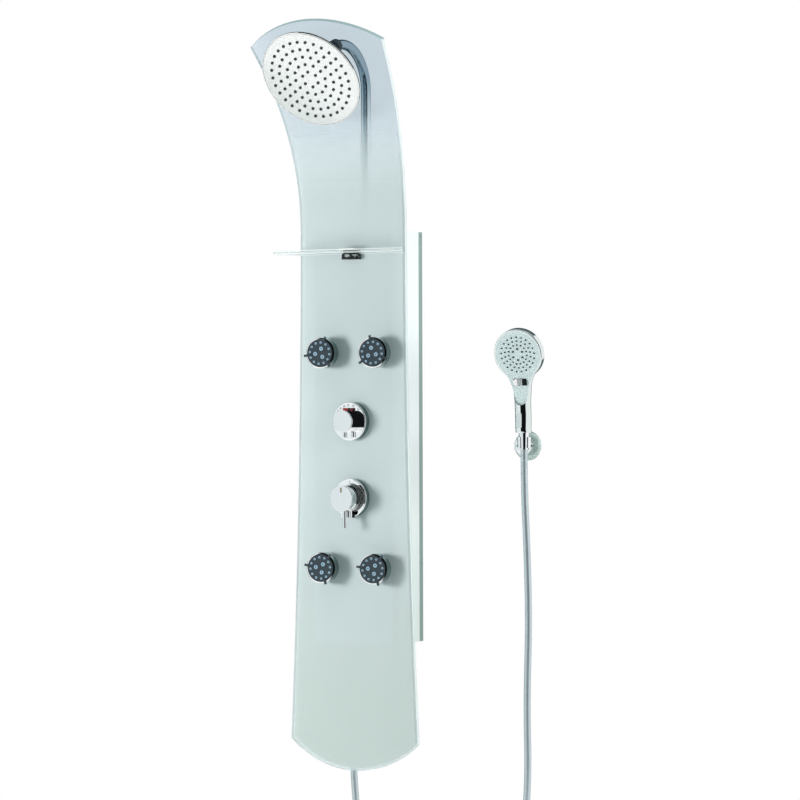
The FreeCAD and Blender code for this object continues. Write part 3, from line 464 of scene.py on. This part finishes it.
# clear and bluish above, frosted below, with a clear margin and green edges; the frost carries painted light high
# up, painted shade low down and a painted shade patch where the casing is behind it;
# half widths, heights and arcs follow the solid's outline, and a pair of heights is where a change begins and ends
glassSet = {
    "waistHalf": 0.1225,
    "waistZ": 0.360,
    "above": (0.346, 0.029),
    "below": (1.048, 0.0255),
    "footRadius": 0.2151,
    "footCentre": -0.5319,
    "margin": 0.006,
    "frostFrom": 0.36,
    "frostTo": 0.625,
    "topTint": linear(190, 212, 224),
    "seenThrough": (0.775, 0.830, 0.865),
    "paleThrough": (0.88, 0.92, 0.94),
    "frostTint": linear(224, 232, 233),
    "frostMiddle": linear(209, 218, 219),
    "frostLow": linear(199, 209, 205),
    "casingTint": linear(206, 216, 218),
    "casingHalf": 0.0935,
    "casingTop": (0.330, 0.344),
    "casingFoot": (-0.505, -0.475),
    "middleFrom": (0.38, 0.52),
    "lowFrom": (-0.62, -0.15),
    "topFrom": (0.48, 0.70),
    "tintFrom": (0.42, 0.62),
    "footFrom": (-0.60, -0.58),
    "topEdgeFacing": (0.0, -0.6157, 0.7880),
    "edgeGreen": linear(150, 190, 184),
    "edgePale": linear(240, 246, 245),
}


def sideOf(glass, rise, part):  # half the glass's width, an arc on each side of the waist
    height, spread = glass[part]
    radius = (height ** 2 + spread ** 2) / (2 * spread)
    return glass["waistHalf"] + (radius - (radius ** 2 - rise * rise).combine("SQRT"))


def glassFinish(glass):
    f = Finish("tintedGlass")
    place = f.coordinates()
    x, nothing, z = f.split(place)
    rise = z - glass["waistZ"]
    side = abs(x)
    isAbove = rise.combine("GREATER_THAN", 0.0)
    halfWidth = isAbove * sideOf(glass, rise, "above") + (1 - isAbove) * sideOf(glass, rise, "below")
    drop = z - glass["footCentre"]
    toFoot = glass["footRadius"] - (x * x + drop * drop).combine("SQRT")
    toFoot = toFoot + f.fade(z, *glass["footFrom"])
    toEdge = (halfWidth - side).combine("MINIMUM", toFoot)
    frost = 1 - f.fade(z, glass["frostFrom"], glass["frostTo"])
    inside = f.fade(toEdge, glass["margin"] * 0.6, glass["margin"] * 1.3)
    casing = 1 - f.fade(side, glass["casingHalf"] - 0.009, glass["casingHalf"] + 0.006)
    casing = casing * (1 - f.fade(z, *glass["casingTop"])) * f.fade(z, *glass["casingFoot"])
    normal = f.facing()
    nx, nothing, nz = f.split(normal)
    sideFace = abs(nx).combine("GREATER_THAN", 0.6)
    topFace = f.dot(normal, glass["topEdgeFacing"]).combine("GREATER_THAN", 0.75)
    footFace = nz.combine("LESS_THAN", -0.6) * z.combine("LESS_THAN", glass["footFrom"][0])
    # painted light: the upper frosted part is lighter
    shade = f.mix(f.fade(z, *glass["middleFrom"]), glass["frostMiddle"], glass["frostTint"])
    # painted shade: the frosted glass is darker low down
    shade = f.mix(1 - f.fade(z, *glass["lowFrom"]), shade, glass["frostLow"])
    shade = f.mix(1 - f.fade(z, *glass["topFrom"]), glass["topTint"], shade)
    # painted shade: the casing behind the glass shows as a darker patch
    shade = f.mix(casing * 0.8, shade, glass["casingTint"])
    shade = f.mix((1 - inside) * frost * 0.75, shade, glass["edgePale"])
    edges = sideFace.combine("MAXIMUM", footFace)
    shade = f.mix(edges, shade, glass["edgePale"])
    shade = f.mix(topFace, shade, glass["edgeGreen"])
    cover = 0.05 + frost * 0.83 * (0.45 + inside * 0.55)
    cover = cover.combine("MAXIMUM", edges * 0.75)
    cover = cover.combine("MAXIMUM", topFace * 0.6)
    rough = 0.04 + frost * inside * 0.30
    tinted = f.node("ShaderNodeBsdfTransparent", None, {"Color": glass["seenThrough"]})
    pale = f.node("ShaderNodeBsdfTransparent", None, {"Color": glass["paleThrough"]})
    high = f.fade(z, *glass["tintFrom"]) * f.fade(x, -0.20, -0.06)
    clear = f.node("ShaderNodeMixShader", None, {0: high, 1: pale, 2: tinted})
    solid = f.surface(BaseColor=shade, Roughness=rough, IOR=1.45, SpecularIORLevel=0.35)
    return f.done(f.node("ShaderNodeMixShader", None, {0: cover, 1: clear, 2: solid}))


def acrylicFinish(shelf):  # each edge face is a clear band between two painted highlight lines
    half = shelf["thickness"] / 2
    middle = shelf["underside"] + half
    f = Finish("clearAcrylic")
    place = f.coordinates()
    z = f.split(place)[2]
    line = f.fade(abs(z - middle), half * 0.25, half * 0.75)
    normal = f.facing()
    nz = f.split(normal)[2]
    flat = abs(nz).combine("GREATER_THAN", 0.7)
    wave = f.noise(place, 14.0, 2.0)
    # painted highlight: bright lines near the top and bottom of each edge face
    shade = f.mix(flat, f.mix(line, linear(196, 208, 208), linear(250, 253, 253)), linear(236, 244, 244))
    cover = flat * 0.05 + (1 - flat) * (0.28 + line * 0.5) + wave * 0.02
    return f.done(f.surface(BaseColor=shade, Roughness=0.02 + 0.01 * wave, Alpha=cover, IOR=1.49))


def hoseFinish():
    f = Finish("silverHose")
    along = f.split(f.coordinates("UV"))[1]
    ribs = (along * (2 * math.pi / 0.0032)).combine("SINE")
    place = f.coordinates()
    cloud = f.noise(place, 30.0, 3.0)
    shade = f.mix(f.fade(ribs, -1.0, 1.0), (0.54, 0.62, 0.65), (0.56, 0.64, 0.67))
    return f.done(f.surface(BaseColor=shade, Metallic=0.72, Roughness=0.34 + 0.02 * cloud))


def dress(piece, material):
    piece.data.materials.clear()
    piece.data.materials.append(material)


shelfSet = {"underside": 0.2943, "thickness": 0.0075}
facingSet = {"headLean": -35.5, "jetTurn": 8.0, "handsetTurn": 6.6, "handsetLean": -13.2}
headOut = direction(0.0, facingSet["headLean"])
jetOut = direction(facingSet["jetTurn"])
handsetOut = direction(facingSet["handsetTurn"], facingSet["handsetLean"])
handsetRight = direction(facingSet["handsetTurn"] + 90)
buttonCentre = sum(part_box("handset_button"), Vector()) / 2
headCentre = sum(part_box("head_face"), Vector()) / 2
finishes = {
    "glass": glassFinish(glassSet),
    "acrylic": acrylicFinish(shelfSet),
    "whiteCoat": paintFinish("whiteCoat", linear(248, 250, 251), linear(222, 230, 226)),
    "rail": anodisedFinish("anodisedRail", linear(146, 168, 162)),
    "zinc": machinedFinish("zincSteel", (0.62, 0.63, 0.65), 0.34),
    "brass": machinedFinish("machinedBrass", (0.72, 0.55, 0.28), 0.26),
    "copper": machinedFinish("drawnCopper", (0.78, 0.42, 0.27), 0.25),
    "braid": braidFinish("braidedSteel"),
    "chrome": chromeFinish("chrome"),
    "headFace": brushedFaceFinish("headFace", headCentre, headOut, linear(247, 249, 248), linear(203, 212, 209),
                                  0.30),
    # painted highlight on the diverter ring's ridges
    "ridge": plasticFinish("ridgeEdgeHighlight", linear(236, 241, 241), 0.3, grain=0.0),
    # headBack, plateChrome, ringChrome and jetChrome darken their walls with painted reflection; jetChrome adds a
    # painted crescent reflection
    "headBack": rimmedFinish("headBack", headOut, (0.86, 0.87, 0.87), (0.16, 0.18, 0.18)),
    "slate": plasticFinish("slatePlastic", linear(49, 60, 67), 0.42, grain=0.000004, coat=0.1),
    "nozzleBlue": plasticFinish("nozzleBlue", linear(160, 188, 208), 0.42, grain=0.0),
    "darkRubber": plasticFinish("darkRubber", linear(50, 60, 62), 0.5, grain=0.0),
    # painted shade for the nozzles' holes
    "hole": plasticFinish("nozzleHoleShade", (0.012, 0.014, 0.016), 0.6, grain=0.0),
    "blueHoleShade": plasticFinish("blueHoleShade", linear(74, 88, 100), 0.6, grain=0.0),
    "rosette": rosetteFinish(),
    "plateChrome": rimmedFinish("plateChrome", direction(0), (1.0, 1.0, 1.0)),
    "ringChrome": rimmedFinish("ringChrome", direction(0), (1.0, 1.0, 1.0), (0.05, 0.055, 0.055)),
    "jetChrome": rimmedFinish("jetChrome", jetOut, crescentReflection=1.0),
    "clamp": clampFinish(shelfSet["underside"]),
    "shellChrome": chromeFinish("shellChrome", (0.76, 0.82, 0.82)),
    "arm": armFinish(),
    "button": ribbedFinish("ribbedButton", buttonCentre, handsetRight, 0.0034),
    "blackRubber": plasticFinish("blackRubber", (0.018, 0.019, 0.021), 0.45),
    "redButton": buttonFinish(linear(140, 14, 18), linear(44, 30, 32)),
    "greyPlate": plasticFinish("greyPlate", linear(206, 219, 219), 0.34, grain=0.0, coat=0.1, speckle=0.01),
    "whitePlastic": plasticFinish("whitePlastic", linear(236, 236, 232), 0.4),
    "hose": hoseFinish(),
    "ink": plasticFinish("greyInk", linear(40, 48, 50), 0.5, grain=0.0),
    "tick": plasticFinish("tickInlay", linear(122, 118, 92), 0.4, grain=0.0),
}

wearing = {
    "glass": ["glass_panel"],
    "acrylic": ["shelf_plate"],
    "whiteCoat": ["casing"],
    "rail": ["wall_rails"],
    "zinc": ["wall_brackets", "fixing_screws", "rosette_plate", "button_spring"],
    "brass": ["valve_block", "supply_nuts", "thermostat_cartridge", "flow_cartridge", "head_ball"],
    "copper": ["inner_pipes"],
    "braid": ["supply_hoses"],
    "chrome": ["outlet_pipe", "hose_nut", "thermostat_knob", "thermostat_pin", "flow_knob", "flow_pin",
               "jet_sockets", "ball_collar", "holder_cup", "hose_cone"],
    "shellChrome": ["handset_shell"],
    "plateChrome": ["thermostat_plate", "diverter_plate"],
    "ringChrome": ["diverter_ring"],
    "jetChrome": ["jet_%d_cup" % n for n in range(1, 5)],
    "clamp": ["shelf_clamp"],
    "arm": ["shower_arm"],
    "headFace": ["head_face"],
    "headBack": ["head_back"],
    "whitePlastic": ["jet_lock_nuts", "ball_bush"] + ["jet_%d_seat" % n for n in range(1, 5)],
    "slate": ["jet_%d_face" % n for n in range(1, 5)],
    "nozzleBlue": ["jet_%d_nozzles" % n for n in range(1, 5)],
    "darkRubber": ["head_nozzles", "handset_nozzles"],
    "blackRubber": ["arm_lock_collar", "arm_grommet"],
    "redButton": ["stop_button"],
    "greyPlate": ["handset_face"],
    "button": ["handset_button"],
    "rosette": ["rosette"],
}
for finishName, names in wearing.items():
    for name in names:
        dress(nodes[name], finishes[finishName])
for tube in hose.values():
    dress(tube, finishes["hose"])
print("finishes made:", len(finishes))


def islandsOf(node):  # the separate solids of a node, as lists of places
    shape = bmesh.new()
    shape.from_mesh(node.data)
    shape.transform(node.matrix_world)
    bmesh.ops.remove_doubles(shape, verts=shape.verts[:], dist=1e-6)
    seen = set()
    found = []
    for first in shape.verts:
        if first in seen:
            continue
        seen.add(first)
        waiting = [first]
        places = []
        while waiting:
            vertex = waiting.pop()
            places.append(vertex.co.copy())
            for edge in vertex.link_edges:
                other = edge.other_vert(vertex)
                if other not in seen:
                    seen.add(other)
                    waiting.append(other)
        found.append(places)
    shape.free()
    return found


def joined(name, pieces):
    deselect()
    for piece in pieces:
        piece.select_set(True)
    bpy.context.view_layer.objects.active = pieces[0]
    if len(pieces) > 1:
        bpy.ops.object.join()
    bpy.ops.object.transform_apply(location=True, rotation=True, scale=True)
    result = bpy.context.object
    result.name = name
    return result


discSet = {"sides": 14, "depth": 0.0006, "tipDepth": 0.0004}


def makeDiscs(name, nodeName, axis, share, body, finish, lift=0.0001):  # on the fronts of the nozzles
    turn = axis.to_track_quat("Z", "Y").to_euler()
    discs = []
    for places in islandsOf(nodes[nodeName]):
        centre = sum(places, Vector()) / len(places)
        front = max(place.dot(axis) for place in places)
        tip = [place for place in places if place.dot(axis) > front - discSet["tipDepth"]]
        reach = max((place - centre - axis * (place - centre).dot(axis)).length for place in tip)
        middle = centre + axis * (front - centre.dot(axis) - discSet["depth"] / 2 + lift)
        deselect()
        bpy.ops.mesh.primitive_cylinder_add(vertices=discSet["sides"], radius=reach * share,
                                            depth=discSet["depth"], rotation=turn, location=middle)
        discs.append(bpy.context.object)
    whole = joined(name, discs)
    dress(whole, finishes[finish])
    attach(whole, body)


def makeMark(words, marks, place, turn):  # flat words that face the front, turned about their own middle
    deselect()
    bpy.ops.object.text_add()
    text = bpy.context.object
    text.data.body = words
    text.data.size = marks["size"]
    text.data.align_x = "CENTER"
    text.data.align_y = "CENTER"
    text.data.extrude = marks["depth"]
    text.data.resolution_u = marks["roundness"]
    bpy.ops.object.convert(target="MESH")
    mark = bpy.context.object
    mark.rotation_euler = (math.pi / 2, math.radians(turn), 0)
    mark.location = place
    bpy.ops.object.transform_apply(location=True, rotation=True, scale=True)
    return mark


markSet = {
    "size": 0.0058,
    "depth": 0.00003,
    "roundness": 3,
    "radius": 0.0325,
    "thermostat": (0.0, -0.13504, -0.043),
    "words": [("20", -52.0), ("25", -36.7), ("30", -20.8), ("35", -3.6), ("38", 17.2), ("45", 41.3),
              ("-", 122.0), ("+", -122.0)],
    "flow": (0.0, -0.13504, -0.197),
}


def makeMarks(marks):
    x, y, z = marks["thermostat"]
    pieces = []
    for words, angle in marks["words"]:
        a = math.radians(angle)
        place = (x + marks["radius"] * math.sin(a), y, z + marks["radius"] * math.cos(a))
        pieces.append(makeMark(words, marks, place, angle))
    dial = joined("thermostat_marks", pieces)
    dress(dial, finishes["ink"])
    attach(dial, "root")
    x, y, z = marks["flow"]
    mark = joined("flow_mark", [makeMark("I", marks, (x, y, z + marks["radius"]), 0.0)])
    dress(mark, finishes["ink"])
    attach(mark, "root")
    print("dial marks made:", len(pieces) + 1)


ridgeSet = {"count": 3, "height": -0.197, "thickness": 0.00016, "stepIn": 0.0008}
tickSet = {"height": -0.1803, "sunk": 0.0005, "size": (0.0038, 0.0006, 0.0102)}


def makeRidgeHighlights(name, nodeName, body, ridge):  # painted highlights: thin bright rings on the edges of the diverter ring's ridges
    low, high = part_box(nodeName)
    step = (high.y - low.y) / (2 * ridge["count"])
    rings = []
    for k in range(ridge["count"]):
        deselect()
        place = (0.0, high.y - (1 + 2 * k) * step, ridge["height"])
        bpy.ops.mesh.primitive_torus_add(location=place, rotation=(math.pi / 2, 0, 0), major_segments=96,
                                         minor_segments=8, major_radius=high.x - ridge["stepIn"] * k,
                                         minor_radius=ridge["thickness"])
        bpy.ops.object.shade_smooth()
        rings.append(bpy.context.object)
    ridgeHighlights = joined(name, rings)
    dress(ridgeHighlights, finishes["ridge"])
    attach(ridgeHighlights, body)


def makeTick(tick):  # inlay in the flow knob's slot
    front = min(corner.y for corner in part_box("flow_knob"))
    deselect()
    bpy.ops.mesh.primitive_cube_add(size=1.0, location=(0.0, front + tick["sunk"], tick["height"]))
    inlay = bpy.context.object
    inlay.scale = tick["size"]
    bpy.ops.object.transform_apply(location=True, rotation=True, scale=True)
    inlay.name = "flow_tick"
    dress(inlay, finishes["tick"])
    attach(inlay, "flow_knob")


makeDiscs("head_tips", "head_nozzles", headOut, 1.14, "head", "darkRubber")
# painted shade: dark discs stand for the shade inside the nozzles' holes
makeDiscs("head_holes", "head_nozzles", headOut, 0.34, "head", "hole", 0.0003)
makeDiscs("handset_holes", "handset_nozzles", handsetOut, 0.45, "handset", "hole")
for number in range(1, 5):
    jet = "jet_%d_" % number
    makeDiscs(jet + "tips", jet + "nozzles", jetOut, 1.22, jet + "face", "nozzleBlue", -0.0002)
    # painted shade: darker blue discs for the shade inside the jets' nozzle holes
    makeDiscs(jet + "holes", jet + "nozzles", jetOut, 0.5, jet + "face", "blueHoleShade")
print("nozzle discs made")
makeMarks(markSet)
makeRidgeHighlights("diverter_ridge_highlights", "diverter_ring", "diverter", ridgeSet)
makeTick(tickSet)
print("knob details made")


studioSet = {
    "floorZ": -1.30,
    "floorRadius": 2.2,
    "floorCentre": (0.1, -0.3),
    "floorWhite": 0.6,
    "ambient": 0.27,
    "ambientColour": (0.72, 0.99, 0.96),
    "soft": 2.5,
    "cards": [  # azimuth from and to, height from and to (sine of the elevation), colour
        (-108.0, -80.0, -2.0, 2.0, linear(140, 155, 158)),
        (-200.0, -108.0, -2.0, 2.0, linear(88, 103, 106)),
        (173.0, 200.0, -2.0, 2.0, linear(88, 103, 106)),
        (-180.0, 180.0, -2.0, -0.78, linear(200, 208, 208)),
        (-80.0, -5.0, -0.12, 0.12, linear(230, 238, 240)),
        (1.0, 66.0, -0.60, 0.75, (0.006, 0.007, 0.008)),
        (-27.0, 12.0, 0.12, 0.75, (0.006, 0.007, 0.008)),
        (-12.0, 12.0, -0.60, -0.12, (0.006, 0.007, 0.008)),
    ],
}
lampSet = {
    "keyLamp": {"azimuth": -38.0, "elevation": -1.0, "distance": 3.0, "size": 1.1, "power": 72.0},
    "sideLamp": {"azimuth": 86.0, "elevation": 10.0, "distance": 3.0, "size": 1.6, "power": 66.0},
    "lowLamp": {"azimuth": -46.0, "elevation": -36.0, "distance": 2.6, "size": 1.4, "power": 7.0},
    "topLamp": {"azimuth": -30.0, "elevation": 66.0, "distance": 3.0, "size": 1.8, "power": 12.0},
}


def rayWires(f):  # seen straight, in a mirror, through glass
    rays = f.tree.nodes.new("ShaderNodeLightPath")
    return [Wire(f.tree, rays.outputs[name]) for name in ("Is Camera Ray", "Is Glossy Ray", "Is Transmission Ray")]


def makeFloor(studio):
    deselect()
    bpy.ops.mesh.primitive_circle_add(vertices=96, radius=studio["floorRadius"], fill_type="NGON",
                                      location=(*studio["floorCentre"], studio["floorZ"]))
    floor = bpy.context.object
    floor.name = "floor"
    f = Finish("paleFloor")
    camera, glossy, through = rayWires(f)
    direct = camera.combine("MAXIMUM", glossy).combine("MAXIMUM", through)
    plain = f.surface(BaseColor=(0.86, 0.86, 0.86), Roughness=0.9)
    white = f.node("ShaderNodeEmission", None, {"Color": (1.0, 1.0, 1.0), "Strength": 1.0})
    both = f.node("ShaderNodeMixShader", None, {0: direct * studio["floorWhite"], 1: plain, 2: white})
    floor.data.materials.append(f.done(both))


def makeWorld(studio):
    world = bpy.data.worlds.new("studio")
    bpy.context.scene.world = world
    world.use_nodes = True
    f = Finish("studio", world.node_tree)
    towards = f.coordinates("Generated")
    x, y, z = f.split(towards)
    around = x.combine("ARCTAN2", 0 - y) * math.degrees(1)
    shade = (1.0, 1.0, 1.0)
    for low, high, bottom, top, colour in studio["cards"]:
        across = f.fade(around, low - studio["soft"], low + studio["soft"])
        across = across * (1 - f.fade(around, high - studio["soft"], high + studio["soft"]))
        upright = f.fade(z, bottom - 0.02, bottom + 0.02) * (1 - f.fade(z, top - 0.02, top + 0.02))
        shade = f.mix(across * upright, shade, colour)
    camera, glossy, through = rayWires(f)
    lit = f.node("ShaderNodeBackground", None, {"Color": studio["ambientColour"], "Strength": studio["ambient"]})
    white = f.node("ShaderNodeBackground", None, {"Color": (1.0, 1.0, 1.0), "Strength": 1.0})
    mirror = f.node("ShaderNodeBackground", None, {"Color": shade, "Strength": 1.0})
    shown = f.node("ShaderNodeMixShader", None, {0: glossy, 1: lit, 2: mirror})
    shown = f.node("ShaderNodeMixShader", None, {0: camera.combine("MAXIMUM", through), 1: shown, 2: white})
    out = f.tree.nodes.new("ShaderNodeOutputWorld")
    f.tree.links.new(shown.socket, out.inputs["Surface"])


def makeLamps(lamps):
    for name, lamp in lamps.items():
        deselect()
        towards = direction(lamp["azimuth"], lamp["elevation"])
        bpy.ops.object.light_add(type="AREA", location=towards * lamp["distance"])
        light = bpy.context.object
        light.name = name
        light.rotation_mode = "QUATERNION"
        light.rotation_quaternion = towards.to_track_quat("Z", "Y")
        light.data.shape = "DISK"
        light.data.size = lamp["size"]
        light.data.energy = lamp["power"]
        light.visible_camera = False
        light.visible_glossy = False


makeFloor(studioSet)
makeWorld(studioSet)
makeLamps(lampSet)
bpy.context.scene.view_settings.view_transform = "Standard"
print("studio made")
